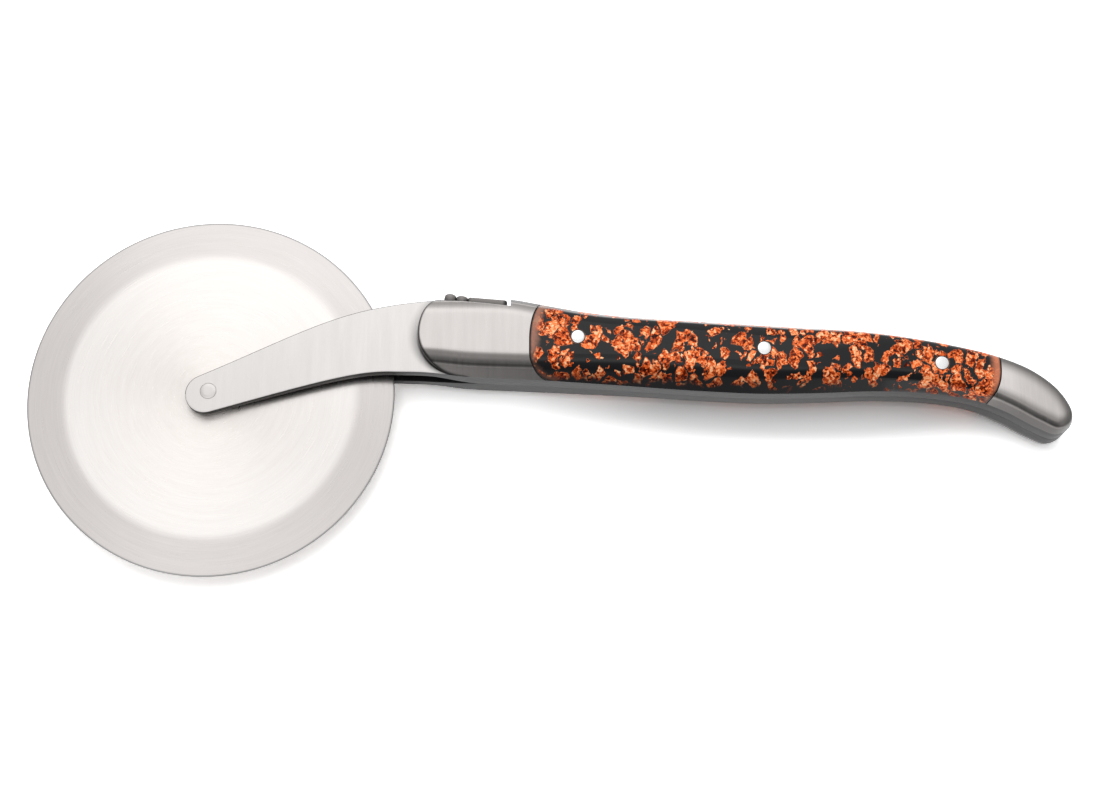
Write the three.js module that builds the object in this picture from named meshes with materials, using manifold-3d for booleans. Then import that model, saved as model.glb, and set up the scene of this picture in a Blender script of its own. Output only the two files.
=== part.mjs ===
// A hand-held pizza wheel: a bevelled steel disc turns between the arms of a two-part fork, whose tang
// carries steel bolsters and resin scales held by three pins.
// Millimetres, +Z up. It lies on its side: Z runs along the axle, +X from the wheel to the tail,
// +Y to the back.
// The pieces are laid out from the axle at mid-thickness, then moved so the origin is under the middle.

import * as THREE from "three";
import { mergeVertices } from "three/addons/utils/BufferGeometryUtils.js";
import Module from "manifold-3d";

const wasm = await Module();
wasm.setup();

// Wheel and axle.
const WHEEL_RADIUS = 37;
const WHEEL_THICKNESS = 1.4;
const BEVEL_WIDTH = 7.6;
const EDGE_THICKNESS = 0.3;
const AXLE_RADIUS = 1.6;
const BUSH_WALL = 0.85;
const WASHER_WIDTH = 1;
const WASHER_THICKNESS = 1.2;

// Clearances: all round the pieces that turn, and between pieces that are pinned, riveted or glued.
const RUNNING_CLEARANCE = 0.06;
const FIT_GAP = 0.05;

// Fork: two arms, their slot, and the tang behind it.
const ARM_THICKNESS = 2.4;
const ARM_TIP_THICKNESS = 1.5;
const ARM_TIP_RADIUS = 3.95;
const ARM_TIP_LEAD = 0.65;
const ARM_TIP_DROP = 0.55;
const ARM_BACK_ANGLE = 24;
const ARM_BELLY_ANGLE = 16.1;
const ARM_ROOT_ANGLE = 4.4;
const ARM_TIP_PULL = 0.6;
const ARM_BACK_PULL = 0.46;
const ARM_BELLY_PULL = 0.145;
const SLOT_PAST_RIM = 8;
const SLOT_POINT_LENGTH = 8.2;
const TANG_THICKNESS = 7.2;
const TANG_TAPER_START = 25;
const TANG_TAPER_LENGTH = 23;

// Handle: its length, the height of the side facet and of the rounded shoulder, and the shoulder's width.
const RIM_TO_BOLSTER = 4.9;
const HANDLE_LENGTH = 130.5;
const FACET_RISE = 2;
const SHOULDER_RISE = 1;
const SHOULDER_WIDTH = 2.9;
const TAIL_SHOULDER_WIDTH = 1.7;

// The nose, which is the front edge of the front bolster: two quarter ellipses that meet at its foremost
// point.
const NOSE_HEIGHT = 11.2;
const NOSE_BACK_SETBACK = 6.5;
const NOSE_BACK_RISE = 8.5;
const NOSE_BELLY_SETBACK = 10;
const NOSE_BELLY_DROP = 8.7;

// Joints between bolsters and scales: upright in the middle, with a quarter ellipse at each end.
const FRONT_BOLSTER_LENGTH = 22.35;
const FRONT_JOINT_BACK_HEIGHT = 9.5;
const FRONT_JOINT_BACK_SETBACK = 4.9;
const FRONT_JOINT_BACK_RISE = 10;
const FRONT_JOINT_BELLY_HEIGHT = 6.8;
const FRONT_JOINT_BELLY_SETBACK = 4.9;
const FRONT_JOINT_BELLY_DROP = 5.2;
const REAR_BOLSTER_LENGTH = 14.5;
const REAR_JOINT_BACK_HEIGHT = 5;
const REAR_JOINT_BACK_SETBACK = 2;
const REAR_JOINT_BACK_RISE = 5;
const REAR_JOINT_BELLY_HEIGHT = 3.5;
const REAR_JOINT_BELLY_SETBACK = 5;
const REAR_JOINT_BELLY_DROP = 7.2;

// Pins through the scales and blind dowels inside the bolsters.
const PIN_RADIUS = 1.35;
const FRONT_PIN_SETBACK = 9.65;
const MIDDLE_PIN_SETBACK = 46.75;
const REAR_PIN_SETBACK = 11.7;
const FRONT_PIN_HEIGHT = 10.2;
const MIDDLE_PIN_HEIGHT = 7.8;
const REAR_PIN_HEIGHT = 4.7;
const DOWEL_RADIUS = 1.25;
const DOWEL_COVER = 1.4;
const FRONT_DOWEL_SETBACK = 13;
const BACK_DOWEL_HEIGHT = 13.5;
const BELLY_DOWEL_HEIGHT = 6.5;
const REAR_DOWEL_SETBACK = 8.5;
const REAR_DOWEL_HEIGHT = -1.5;

// Shelf cut into the back over the front bolster, and the fly plate that sits on it.
const SHELF_LENGTH = 18.5;
const SHELF_START = 3.4;
const SHELF_HEIGHT = 18.8;
const SHELF_SLOPE = 7.4;
const FLY_LENGTH = 12.8;
const FLY_WIDTH = 8.4;
const FLY_THICKNESS = 1.55;
const FLY_END_THICKNESS = 1.9;
const FLY_END_GAP = 0.9;
const FLY_END_RADIUS = 0.6;
const FLY_HEAD_LENGTH = 2.4;
const FLY_HEAD_HEIGHT = 1.95;
const FLY_BODY_LENGTH = 2.4;
const FLY_BODY_HEIGHT = 1.8;
const FLY_WAIST_HEIGHT = 1.4;

// Facets per curve.
const OUTLINE_STEPS = 4;
const SHOULDER_STEPS = 4;
const ROUND_STEPS = 24;
const WHEEL_STEPS = 96;

// Places worked out from the sizes above.
const HANDLE_FRONT = WHEEL_RADIUS + RIM_TO_BOLSTER;
const TAIL = HANDLE_FRONT + HANDLE_LENGTH;
const BUSH_RADIUS = AXLE_RADIUS + FIT_GAP + BUSH_WALL;
const SLOT_HALF = WHEEL_THICKNESS / 2 + WASHER_THICKNESS + 2 * RUNNING_CLEARANCE;
const FORK_HALF = SLOT_HALF + ARM_THICKNESS;
const ARM_TIP_HALF = SLOT_HALF + ARM_TIP_THICKNESS;
const RIDGE = FORK_HALF + FACET_RISE;
const LAND = RIDGE + SHOULDER_RISE;
const SLOT_END = WHEEL_RADIUS + SLOT_PAST_RIM;
const FRONT_JOINT = HANDLE_FRONT + FRONT_BOLSTER_LENGTH;
const REAR_JOINT = TAIL - REAR_BOLSTER_LENGTH;
const STEP = HANDLE_FRONT + SHELF_LENGTH;
const TAPER_START = HANDLE_FRONT + TANG_TAPER_START;
const TAPER_END = TAPER_START + TANG_TAPER_LENGTH;
const REACH = 2 * (TAIL + WHEEL_RADIUS);

// Side view of the handle, from the front of the back round the tail to the front of the belly:
// share of the handle's length, height over the axle, and how far the side facet leans in.
const SHELF_POINT = 2;
const HANDLE_OUTLINE = [
  [-0.045, 19, 1.2],
  [0.062, 19.15, 1.2],
  [SHELF_LENGTH / HANDLE_LENGTH, 18.9, 1.2],
  [0.192, 17.75, 1.2],
  [0.277, 15.95, 1.2],
  [0.407, 14.7, 1.2],
  [0.56, 13.4, 1.2],
  [0.69, 12.3, 1.1],
  [0.802, 10.05, 1],
  [0.89, 7.1, 0.9],
  [0.945, 3.8, 0.8],
  [0.982, -0.4, 0.7],
  [0.999, -5, 0.6],
  [0.993, -7.6, 0.5],
  [0.972, -9, 0.5],
  [0.943, -7.6, 0.6],
  [0.897, -4.3, 0.6],
  [0.848, -1.9, 0.9],
  [0.782, -0.55, 1.5],
  [0.702, -0.12, 2.1],
  [0.614, -0.5, 2.5],
  [0.522, -0.63, 2.6],
  [0.43, -0.05, 2.7],
  [0.323, 0.9, 2.5],
  [0.185, 1.95, 1.9],
  [0.077, 2.65, 1.7],
  [0.016, 3.5, 1.6],
  [-0.045, 3.75, 1.6],
];

function solidOf(geometry) {
  geometry.deleteAttribute("normal");
  geometry.deleteAttribute("uv");
  const merged = mergeVertices(geometry, 1e-4);
  const mesh = new wasm.Mesh({
    numProp: 3,
    vertProperties: Float32Array.from(merged.attributes.position.array),
    triVerts: Uint32Array.from(merged.index.array),
  });
  return new wasm.Manifold(mesh);
}

function geometryOf(solid) {
  const mesh = solid.getMesh();
  const geometry = new THREE.BufferGeometry();
  geometry.setAttribute("position", new THREE.BufferAttribute(mesh.vertProperties, 3));
  geometry.setIndex(new THREE.BufferAttribute(mesh.triVerts, 1));
  geometry.computeVertexNormals();
  return geometry;
}

// A plan outline made into an upright block, from one height to another.
function upright(shape, low, high) {
  const settings = { depth: high - low, bevelEnabled: false, curveSegments: ROUND_STEPS };
  return new THREE.ExtrudeGeometry(shape, settings).translate(0, 0, low);
}

// A profile in X and Z made into a bar that runs right across the object.
function crosswise(points) {
  const settings = { depth: REACH, bevelEnabled: false };
  const shape = new THREE.Shape(points.map(([x, z]) => new THREE.Vector2(x, z)));
  return new THREE.ExtrudeGeometry(shape, settings).rotateX(Math.PI / 2).translate(0, REACH / 2, 0);
}

function rod(x, y, radius, low, high) {
  const cylinder = new THREE.CylinderGeometry(radius, radius, high - low, ROUND_STEPS);
  return cylinder.rotateX(Math.PI / 2).translate(x, y, (low + high) / 2);
}

// A solid of revolution round the axle, from a closed profile of [radius, height] points.
function turned(profile, steps) {
  const closed = [...profile, profile[0]].map(([radius, z]) => new THREE.Vector2(radius, z));
  return new THREE.LatheGeometry(closed, steps).rotateX(Math.PI / 2);
}

function collar(inner, outer, low, high) {
  return turned([[inner, low], [outer, low], [outer, high], [inner, high]], ROUND_STEPS);
}

function shelfHeight(x) {
  const fall = Math.tan(THREE.MathUtils.degToRad(SHELF_SLOPE));
  return SHELF_HEIGHT - (x - HANDLE_FRONT - SHELF_START) * fall;
}

// The handle's outline as points with x, y and the lean of the facet there.
const outlineCurve = new THREE.CatmullRomCurve3(
  HANDLE_OUTLINE.map(([share, y, lean]) => {
    return new THREE.Vector3(HANDLE_FRONT + share * HANDLE_LENGTH, y, lean);
  }),
);
const outline = outlineCurve.getPoints((HANDLE_OUTLINE.length - 1) * OUTLINE_STEPS);

// Corners of the fork's outer face in X and Z: thin at the arm's tip, full at the bolster,
// thinner at the tang.
const OUTER_FACE = [
  [-REACH, ARM_TIP_HALF],
  [ARM_TIP_RADIUS, ARM_TIP_HALF],
  [HANDLE_FRONT, FORK_HALF],
  [TAPER_START, FORK_HALF],
  [TAPER_END, TANG_THICKNESS / 2],
  [REACH, TANG_THICKNESS / 2],
];

function outerHeight(x) {
  const next = OUTER_FACE.findIndex(([corner]) => corner >= x);
  const [toX, toZ] = OUTER_FACE[next];
  const [fromX, fromZ] = OUTER_FACE[next - 1];
  return THREE.MathUtils.mapLinear(x, fromX, toX, fromZ, toZ);
}

// One side of the handle before it is cut up: upright at the tang, then the facet, the rounded
// shoulder and a flat land.
function crown() {
  const count = outline.length;
  const inward = outline.map((point, i) => {
    const before = outline[Math.max(i - 1, 0)];
    const after = outline[Math.min(i + 1, count - 1)];
    return new THREE.Vector2(after.y - before.y, before.x - after.x).normalize();
  });
  const shoulder = outline.map((point) => {
    const tail = THREE.MathUtils.smoothstep(point.x, TAIL - 3 * REAR_BOLSTER_LENGTH, REAR_JOINT);
    return THREE.MathUtils.lerp(SHOULDER_WIDTH, TAIL_SHOULDER_WIDTH, tail);
  });
  const rings = [[() => 0, () => 0], [() => 0, (i) => outerHeight(outline[i].x)]];
  for (let step = 0; step <= SHOULDER_STEPS; step += 1) {
    const t = step / SHOULDER_STEPS;
    const height = RIDGE + SHOULDER_RISE * (2 * t - t * t);
    rings.push([(i) => outline[i].z + t * shoulder[i], () => height]);
  }
  const positions = [];
  for (const [inset, z] of rings) {
    outline.forEach((point, i) => {
      positions.push(point.x + inward[i].x * inset(i), point.y + inward[i].y * inset(i), z(i));
    });
  }
  const index = [];
  for (let ring = 0; ring + 1 < rings.length; ring += 1) {
    for (let i = 0; i < count; i += 1) {
      const a = ring * count + i;
      const b = ring * count + ((i + 1) % count);
      index.push(a, a + count, b, b, a + count, b + count);
    }
  }
  // The flat bottom and the land, each a strip that runs between the back and the belly.
  const last = (rings.length - 1) * count;
  for (let back = 0, belly = count - 1; back < belly - 1; back += 1, belly -= 1) {
    index.push(belly - 1, belly, back, last + back, last + belly, last + belly - 1);
    if (back + 1 < belly - 1) {
      index.push(back + 1, belly - 1, back, last + back, last + belly - 1, last + back + 1);
    }
  }
  const geometry = new THREE.BufferGeometry();
  geometry.setAttribute("position", new THREE.Float32BufferAttribute(positions, 3));
  geometry.setIndex(index);
  return geometry;
}

// Plan of one fork half: back, tail and belly of the handle, then the arm and the shelf. The arm's round tip
// is centred a little ahead of the axle and below it.
function forkPlan() {
  const shape = new THREE.Shape();
  const edge = outline.slice(SHELF_POINT * OUTLINE_STEPS);
  const root = edge[edge.length - 1];
  const back = THREE.MathUtils.degToRad(ARM_BACK_ANGLE);
  const belly = THREE.MathUtils.degToRad(ARM_BELLY_ANGLE);
  const pull = ARM_TIP_PULL * HANDLE_FRONT;
  const onTip = (angle) => [
    Math.cos(angle) * ARM_TIP_RADIUS - ARM_TIP_LEAD,
    Math.sin(angle) * ARM_TIP_RADIUS - ARM_TIP_DROP,
  ];
  const bellyTurn = belly - Math.PI / 2;
  const backTurn = back + Math.PI / 2;
  const tipBelly = onTip(bellyTurn);
  const tipBack = onTip(backTurn);
  const shelfX = HANDLE_FRONT + SHELF_START;
  const backPull = ARM_BACK_PULL * HANDLE_FRONT;
  shape.moveTo(edge[0].x, edge[0].y);
  edge.slice(1).forEach((point) => shape.lineTo(point.x, point.y));
  shape.bezierCurveTo(
    root.x - ARM_BELLY_PULL * HANDLE_FRONT,
    root.y,
    tipBelly[0] + Math.cos(belly) * pull,
    tipBelly[1] + Math.sin(belly) * pull,
    ...tipBelly,
  );
  shape.absarc(-ARM_TIP_LEAD, -ARM_TIP_DROP, ARM_TIP_RADIUS, bellyTurn, backTurn, true);
  shape.bezierCurveTo(
    tipBack[0] + Math.cos(back) * pull,
    tipBack[1] + Math.sin(back) * pull,
    shelfX - backPull,
    SHELF_HEIGHT - Math.tan(THREE.MathUtils.degToRad(ARM_ROOT_ANGLE)) * backPull,
    shelfX,
    SHELF_HEIGHT,
  );
  shape.lineTo(STEP, shelfHeight(STEP));
  return shape;
}

// The curved edges across the handle: where each stands, whether it curves back towards +X (1) or -X (-1),
// and the centre height, setback and height of its two quarter ellipses.
const nose = {
  x: HANDLE_FRONT,
  side: 1,
  back: [NOSE_HEIGHT, NOSE_BACK_SETBACK, NOSE_BACK_RISE],
  belly: [NOSE_HEIGHT, NOSE_BELLY_SETBACK, NOSE_BELLY_DROP],
};
const frontJoint = {
  x: FRONT_JOINT,
  side: 1,
  back: [FRONT_JOINT_BACK_HEIGHT, FRONT_JOINT_BACK_SETBACK, FRONT_JOINT_BACK_RISE],
  belly: [FRONT_JOINT_BELLY_HEIGHT, FRONT_JOINT_BELLY_SETBACK, FRONT_JOINT_BELLY_DROP],
};
const rearJoint = {
  x: REAR_JOINT,
  side: -1,
  back: [REAR_JOINT_BACK_HEIGHT, REAR_JOINT_BACK_SETBACK, REAR_JOINT_BACK_RISE],
  belly: [REAR_JOINT_BELLY_HEIGHT, REAR_JOINT_BELLY_SETBACK, REAR_JOINT_BELLY_DROP],
};

// Everything on the side that a curved edge curves back to, and a little more where it has to grow.
function behind({ x, side, back, belly }, grow) {
  const shape = new THREE.Shape();
  const [backHeight, backSetback, backRise] = back;
  const [bellyHeight, bellySetback, bellyDrop] = belly;
  const backX = x + side * backSetback;
  const bellyX = x + side * bellySetback;
  const up = Math.PI / 2;
  const edge = up + side * up;
  const turn = side < 0;
  shape.moveTo(x + side * REACH, -REACH);
  shape.lineTo(x + side * REACH, REACH);
  shape.lineTo(backX, REACH);
  shape.lineTo(backX, backHeight + backRise + grow);
  shape.absellipse(backX, backHeight, backSetback + grow, backRise + grow, up, edge, turn);
  shape.absellipse(bellyX, bellyHeight, bellySetback + grow, bellyDrop + grow, edge, edge + side * up, turn);
  shape.lineTo(bellyX, -REACH);
  return shape;
}

function overShelf() {
  const shape = new THREE.Shape();
  shape.moveTo(STEP, shelfHeight(STEP));
  shape.lineTo(STEP, REACH);
  shape.lineTo(0, REACH);
  shape.lineTo(0, shelfHeight(0));
  return shape;
}

// Side view of the fly plate, along the shelf: head, body and a plain wedge with a rounded end.
function flyProfile() {
  const shape = new THREE.Shape();
  const body = FLY_HEAD_LENGTH + FLY_BODY_LENGTH;
  const endHeight = FLY_END_THICKNESS - FLY_END_RADIUS;
  const bump = (from, length, height) => {
    const half = length / 2;
    shape.absellipse(from + half, FLY_WAIST_HEIGHT, half, height - FLY_WAIST_HEIGHT, 0, Math.PI, false);
  };
  shape.moveTo(0, 0);
  shape.lineTo(FLY_LENGTH, 0);
  shape.absarc(FLY_LENGTH - FLY_END_RADIUS, endHeight, FLY_END_RADIUS, 0, Math.PI / 2, false);
  shape.lineTo(body, FLY_THICKNESS);
  shape.lineTo(body, FLY_WAIST_HEIGHT);
  bump(FLY_HEAD_LENGTH, FLY_BODY_LENGTH, FLY_BODY_HEIGHT);
  bump(0, FLY_HEAD_LENGTH, FLY_HEAD_HEIGHT);
  return shape;
}

// Where the pins and dowels stand, in plan.
const pins = [
  ["handle_pin_front", FRONT_JOINT + FRONT_PIN_SETBACK, FRONT_PIN_HEIGHT],
  ["handle_pin_middle", FRONT_JOINT + MIDDLE_PIN_SETBACK, MIDDLE_PIN_HEIGHT],
  ["handle_pin_rear", REAR_JOINT - REAR_PIN_SETBACK, REAR_PIN_HEIGHT],
];
const dowels = [
  ["front_dowel_back", HANDLE_FRONT + FRONT_DOWEL_SETBACK, BACK_DOWEL_HEIGHT],
  ["front_dowel_belly", HANDLE_FRONT + FRONT_DOWEL_SETBACK, BELLY_DOWEL_HEIGHT],
  ["rear_dowel", TAIL - REAR_DOWEL_SETBACK, REAR_DOWEL_HEIGHT],
];
const dowelEnd = LAND - DOWEL_COVER;

const block = (shape) => solidOf(upright(shape, -REACH, REACH));
const bores = (places, radius, end) => places.map(([, x, y]) => solidOf(rod(x, y, radius, -REACH, end)));
const drilled = (solid, holes) => holes.reduce((rest, hole) => rest.subtract(hole), solid);

// Upper halves of the fork and the handle; the lower ones are their mirror images.
const pinBores = bores(pins, PIN_RADIUS + FIT_GAP, REACH);
const dowelBores = bores(dowels, DOWEL_RADIUS + FIT_GAP, dowelEnd + FIT_GAP);
const axleBore = solidOf(rod(0, 0, AXLE_RADIUS + FIT_GAP, -REACH, REACH));
const forkProfile = [
  [-REACH, SLOT_HALF],
  [SLOT_END, SLOT_HALF],
  [SLOT_END + SLOT_POINT_LENGTH, FIT_GAP / 2],
  [REACH, FIT_GAP / 2],
  ...OUTER_FACE.toReversed(),
];
const forkBar = solidOf(crosswise(forkProfile));
const forkHalf = drilled(block(forkPlan()).intersect(forkBar), [axleBore, ...pinBores, ...dowelBores]);

const raisedFace = OUTER_FACE.map(([x, z]) => [x, z + FIT_GAP]);
const tangSpace = solidOf(crosswise([[-REACH, -REACH], [REACH, -REACH], ...raisedFace.reverse()]));
const cut = (edge, grow) => block(behind(edge, grow));
const shell = solidOf(crown()).subtract(tangSpace).intersect(cut(nose, 0));
const frontBolster = drilled(shell, [cut(frontJoint, FIT_GAP), block(overShelf()), ...dowelBores]);
const rearBolster = drilled(shell, [cut(rearJoint, FIT_GAP), ...dowelBores]);
const scale = drilled(shell.intersect(cut(frontJoint, 0)).intersect(cut(rearJoint, 0)), pinBores);

// The wheel, its bush and one washer.
const boreRadius = BUSH_RADIUS + RUNNING_CLEARANCE;
const bevelStart = WHEEL_RADIUS - BEVEL_WIDTH;
const wheel = turned(
  [
    [boreRadius, -WHEEL_THICKNESS / 2],
    [bevelStart, -WHEEL_THICKNESS / 2],
    [WHEEL_RADIUS, -EDGE_THICKNESS / 2],
    [WHEEL_RADIUS, EDGE_THICKNESS / 2],
    [bevelStart, WHEEL_THICKNESS / 2],
    [boreRadius, WHEEL_THICKNESS / 2],
  ],
  WHEEL_STEPS,
);
const bush = collar(AXLE_RADIUS + FIT_GAP, BUSH_RADIUS, FIT_GAP - SLOT_HALF, SLOT_HALF - FIT_GAP);
const washerFoot = WHEEL_THICKNESS / 2 + RUNNING_CLEARANCE;
const washer = collar(boreRadius, BUSH_RADIUS + WASHER_WIDTH, washerFoot, washerFoot + WASHER_THICKNESS);

// Assembly.
const root = new THREE.Group();
const upper = new THREE.Group();
const lower = new THREE.Group();
lower.scale.z = -1;
const shelf = new THREE.Group();
root.add(upper, lower, shelf);

function piece(parent, name, geometry, colour, roughness, metalness) {
  const material = new THREE.MeshStandardMaterial({ color: colour, roughness, metalness });
  const mesh = new THREE.Mesh(geometry, material);
  mesh.name = name;
  parent.add(mesh);
  return mesh;
}

const steel = (parent, name, geometry) => piece(parent, name, geometry, 0xc4c4c2, 0.35, 1);

steel(root, "cutting_wheel", wheel);
steel(root, "axle_bush", bush);
steel(root, "axle_rivet", rod(0, 0, AXLE_RADIUS, -ARM_TIP_HALF, ARM_TIP_HALF));
for (const [group, side] of [[upper, "upper"], [lower, "lower"]]) {
  steel(group, `washer_${side}`, washer.clone());
  steel(group, `fork_half_${side}`, geometryOf(forkHalf));
  steel(group, `front_bolster_${side}`, geometryOf(frontBolster));
  steel(group, `rear_bolster_${side}`, geometryOf(rearBolster));
  piece(group, `scale_${side}`, geometryOf(scale), 0x2a1d18, 0.15, 0);
}
for (const [name, x, y] of pins) {
  piece(root, name, rod(x, y, PIN_RADIUS, -LAND, LAND), 0xe6e6e6, 0.15, 1);
}
for (const [name, x, y] of dowels) {
  steel(root, name, rod(x, y, DOWEL_RADIUS, -dowelEnd, dowelEnd));
}

// The fly plate lies along the shelf, its plain end just short of the step.
const flyEnd = STEP - FLY_END_GAP;
shelf.position.set(flyEnd, shelfHeight(flyEnd), 0);
shelf.rotation.z = -THREE.MathUtils.degToRad(SHELF_SLOPE);
const fly = steel(shelf, "fly_plate", upright(flyProfile(), -FLY_WIDTH / 2, FLY_WIDTH / 2));
fly.position.set(-FLY_LENGTH, FIT_GAP, 0);

// Origin under the middle of the whole object, on the plane that it lies on.
const box = new THREE.Box3().setFromObject(root, true);
root.position.set(-(box.min.x + box.max.x) / 2, -(box.min.y + box.max.y) / 2, -box.min.z);

export default root;
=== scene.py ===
"""A pizza wheel: a turned steel disc in a two-part fork, whose tang carries bolsters, resin scales and pins.

Shapes are in millimetres from the axle at mid-thickness: +X to the tail, +Y to the back, +Z along the axle.
place() moves them into the row frame. Materials, stage and camera are in metres.
"""

import math

import bmesh
import bpy
import numpy as np
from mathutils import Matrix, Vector


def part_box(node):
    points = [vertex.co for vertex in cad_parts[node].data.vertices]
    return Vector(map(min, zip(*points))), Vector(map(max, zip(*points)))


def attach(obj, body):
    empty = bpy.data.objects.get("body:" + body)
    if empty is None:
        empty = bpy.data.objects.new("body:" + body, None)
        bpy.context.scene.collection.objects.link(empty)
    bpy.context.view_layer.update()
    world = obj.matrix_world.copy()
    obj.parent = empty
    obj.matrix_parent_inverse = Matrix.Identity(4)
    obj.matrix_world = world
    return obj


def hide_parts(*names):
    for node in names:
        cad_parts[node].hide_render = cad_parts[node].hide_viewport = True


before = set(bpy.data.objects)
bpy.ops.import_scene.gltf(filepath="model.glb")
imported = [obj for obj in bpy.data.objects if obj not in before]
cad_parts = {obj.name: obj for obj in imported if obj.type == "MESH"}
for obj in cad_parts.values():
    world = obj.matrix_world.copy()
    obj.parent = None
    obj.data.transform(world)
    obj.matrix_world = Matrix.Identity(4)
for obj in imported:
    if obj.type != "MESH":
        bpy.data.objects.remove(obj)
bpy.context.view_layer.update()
MM = 0.001
wheel_low, wheel_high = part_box("cutting_wheel")
AXLE = np.array((wheel_low + wheel_high) / 2)
HALVES = {"upper": 1, "lower": -1}


def place(points):
    """Millimetres from the axle as metres in the row frame."""
    return np.asarray(points, float) * MM + AXLE


def solid_box(node):
    """Lowest and highest corner of a solid, in millimetres from the axle."""
    return [(np.array(corner) - AXLE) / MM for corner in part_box(node)]


# Sizes of the turned pieces, from their solids.
_, (WHEEL_RADIUS, _, WHEEL_HALF) = solid_box("cutting_wheel")
_, (AXLE_RADIUS, _, TIP_HALF) = solid_box("axle_rivet")
(_, _, WASHER_FOOT), (WASHER_RADIUS, _, WASHER_TOP) = solid_box("washer_upper")
PINS = {}
for key in ("front", "middle", "rear"):
    pin_low, pin_high = solid_box(f"handle_pin_{key}")
    PINS[key] = tuple((pin_low + pin_high)[:2] / 2)
PIN_RADIUS = (pin_high - pin_low)[0] / 2
LAND = pin_high[2]

# Handle: places along it, heights over the middle of the wheel and widths of the shoulder.
FRONT = 41.9
LENGTH = 130.5
TAIL = FRONT + LENGTH
REAR_LENGTH = 14.5
RIDGE = 6.42
SHOULDER = 2.9
TAIL_SHOULDER = 1.7
TAIL_DROP = 0.75
SHELF_LENGTH = 18.5
STEP = FRONT + SHELF_LENGTH
SHELF_X = FRONT + 3.4
SHELF_Y = 18.8
SHELF_FALL = math.tan(math.radians(7.4))

# Wheel, slot and fork.
BEVEL_START = 29.4
EDGE_HALF = 0.15
BORE_RADIUS = 2.56
SLOT_HALF = 2.02
SLOT_END = 45.0
SLOT_POINT = 53.2
SEAM_HALF = 0.01
TIP_RADIUS = 3.95
TIP_LEAD = 0.65
TIP_DROP = 0.55
FORK_HALF = 4.42
TANG_HALF = 3.6
TAPER = (FRONT + 25.0, FRONT + 48.0)
FORK_FOLDS = (TIP_RADIUS, FRONT, SLOT_END, SLOT_POINT, *TAPER)
ARM_ANGLES = {"back": 24.0, "belly": 16.1, "root": 4.4}
ARM_PULLS = {"tip": 0.6, "back": 0.46, "belly": 0.145}

# Gaps between pieces, bores and the roundings of edges.
JOINT_GAP = 0.05
SEAM = 0.05
FOOT_LIFT = 0.02
PIN_BORE = PIN_RADIUS + 0.06
PIN_BORE_CHAMFER = 0.05
AXLE_BORE = AXLE_RADIUS + 0.025
AXLE_BORE_CHAMFER = 0.03
RIDGE_ROUND = 0.3
RIDGE_ROUND_SHARE = 0.4
NOSE_ROUND = 0.45
SHELF_ROUND = 0.2
JOINT_ROUND = 0.09
RIM_ROUND = 0.22
TANG_ROUND = 0.05
SLOT_ROUND = 0.08
SEAM_ROUND = 0.01
SEAM_BLEND = 2.0
TANG_BLEND = 10.0
FLAT_MARGIN = {"slot": 1.6, "rim": 1.5}

# Fly plate: a wedge, and two lumps with a height, half width and tone each, as the dip at their ends has. The
# tones are painted shade: the plate darker than the bolster, and darker still in the dip, at the wedge's end
# and low on its walls.
FLY_LENGTH = 12.8
FLY_HALF_WIDTH = 4.2
FLY_LUMP = 2.4
FLY_LUMPS = ((1.95, 4.1, 0.42), (1.8, 4.15, 0.38))
FLY_DIP = (1.4, 3.6, 0.12)
FLY_LUMP_ROUND = 0.5
FLY_WEDGE_HEIGHTS = (1.55, 1.9)
FLY_WEDGE_NECK = 3.7
FLY_WEDGE_ROUND = 0.18
FLY_WEDGE_TONES = (0.36, 0.06)
FLY_WALL = 0.3
FLY_WALL_TONE = 0.35
FLY_END_ROUND = 0.6
FLY_WEDGE_START = 2 * FLY_LUMP
FLY_ROUND_START = FLY_LENGTH - FLY_END_ROUND
FLY_END_GAP = 0.9

# Curved edges across the handle: x, the way they curve back, and for the quarter ellipses at the back and the
# belly the height of the centre, the setback and the rise or drop. A line crosses an edge within the search.
NOSE = (FRONT, 1, (11.2, 6.5, 8.5), (11.2, 10.0, 8.7))
FRONT_JOINT = (FRONT + 22.35, 1, (9.5, 4.9, 10.0), (6.8, 4.9, 5.2))
REAR_JOINT = (TAIL - REAR_LENGTH, -1, (5.0, 2.0, 5.0), (3.5, 5.0, 7.2))
EDGE_SEARCH = (-4.0, 14.0)

# Share of the handle's length, height over the axle, lean of the side facet.
HANDLE_OUTLINE = [
    (-0.045, 19, 1.2), (0.062, 19.15, 1.2), (SHELF_LENGTH / LENGTH, 18.9, 1.2), (0.192, 17.75, 1.2),
    (0.277, 15.95, 1.2), (0.407, 14.7, 1.2), (0.56, 13.4, 1.2), (0.69, 12.3, 1.1), (0.802, 10.05, 1),
    (0.89, 7.1, 0.9), (0.945, 3.8, 0.8), (0.982, -0.4, 0.7), (0.999, -5, 0.6), (0.993, -7.6, 0.5),
    (0.972, -9, 0.5), (0.943, -7.6, 0.6), (0.897, -4.3, 0.6), (0.848, -1.9, 0.9), (0.782, -0.55, 1.5),
    (0.702, -0.12, 2.1), (0.614, -0.5, 2.5), (0.522, -0.63, 2.6), (0.43, -0.05, 2.7), (0.323, 0.9, 2.5),
    (0.185, 1.95, 1.9), (0.077, 2.65, 1.7), (0.016, 3.5, 1.6), (-0.045, 3.75, 1.6),
]
OUTLINE_STEPS = 24

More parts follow.
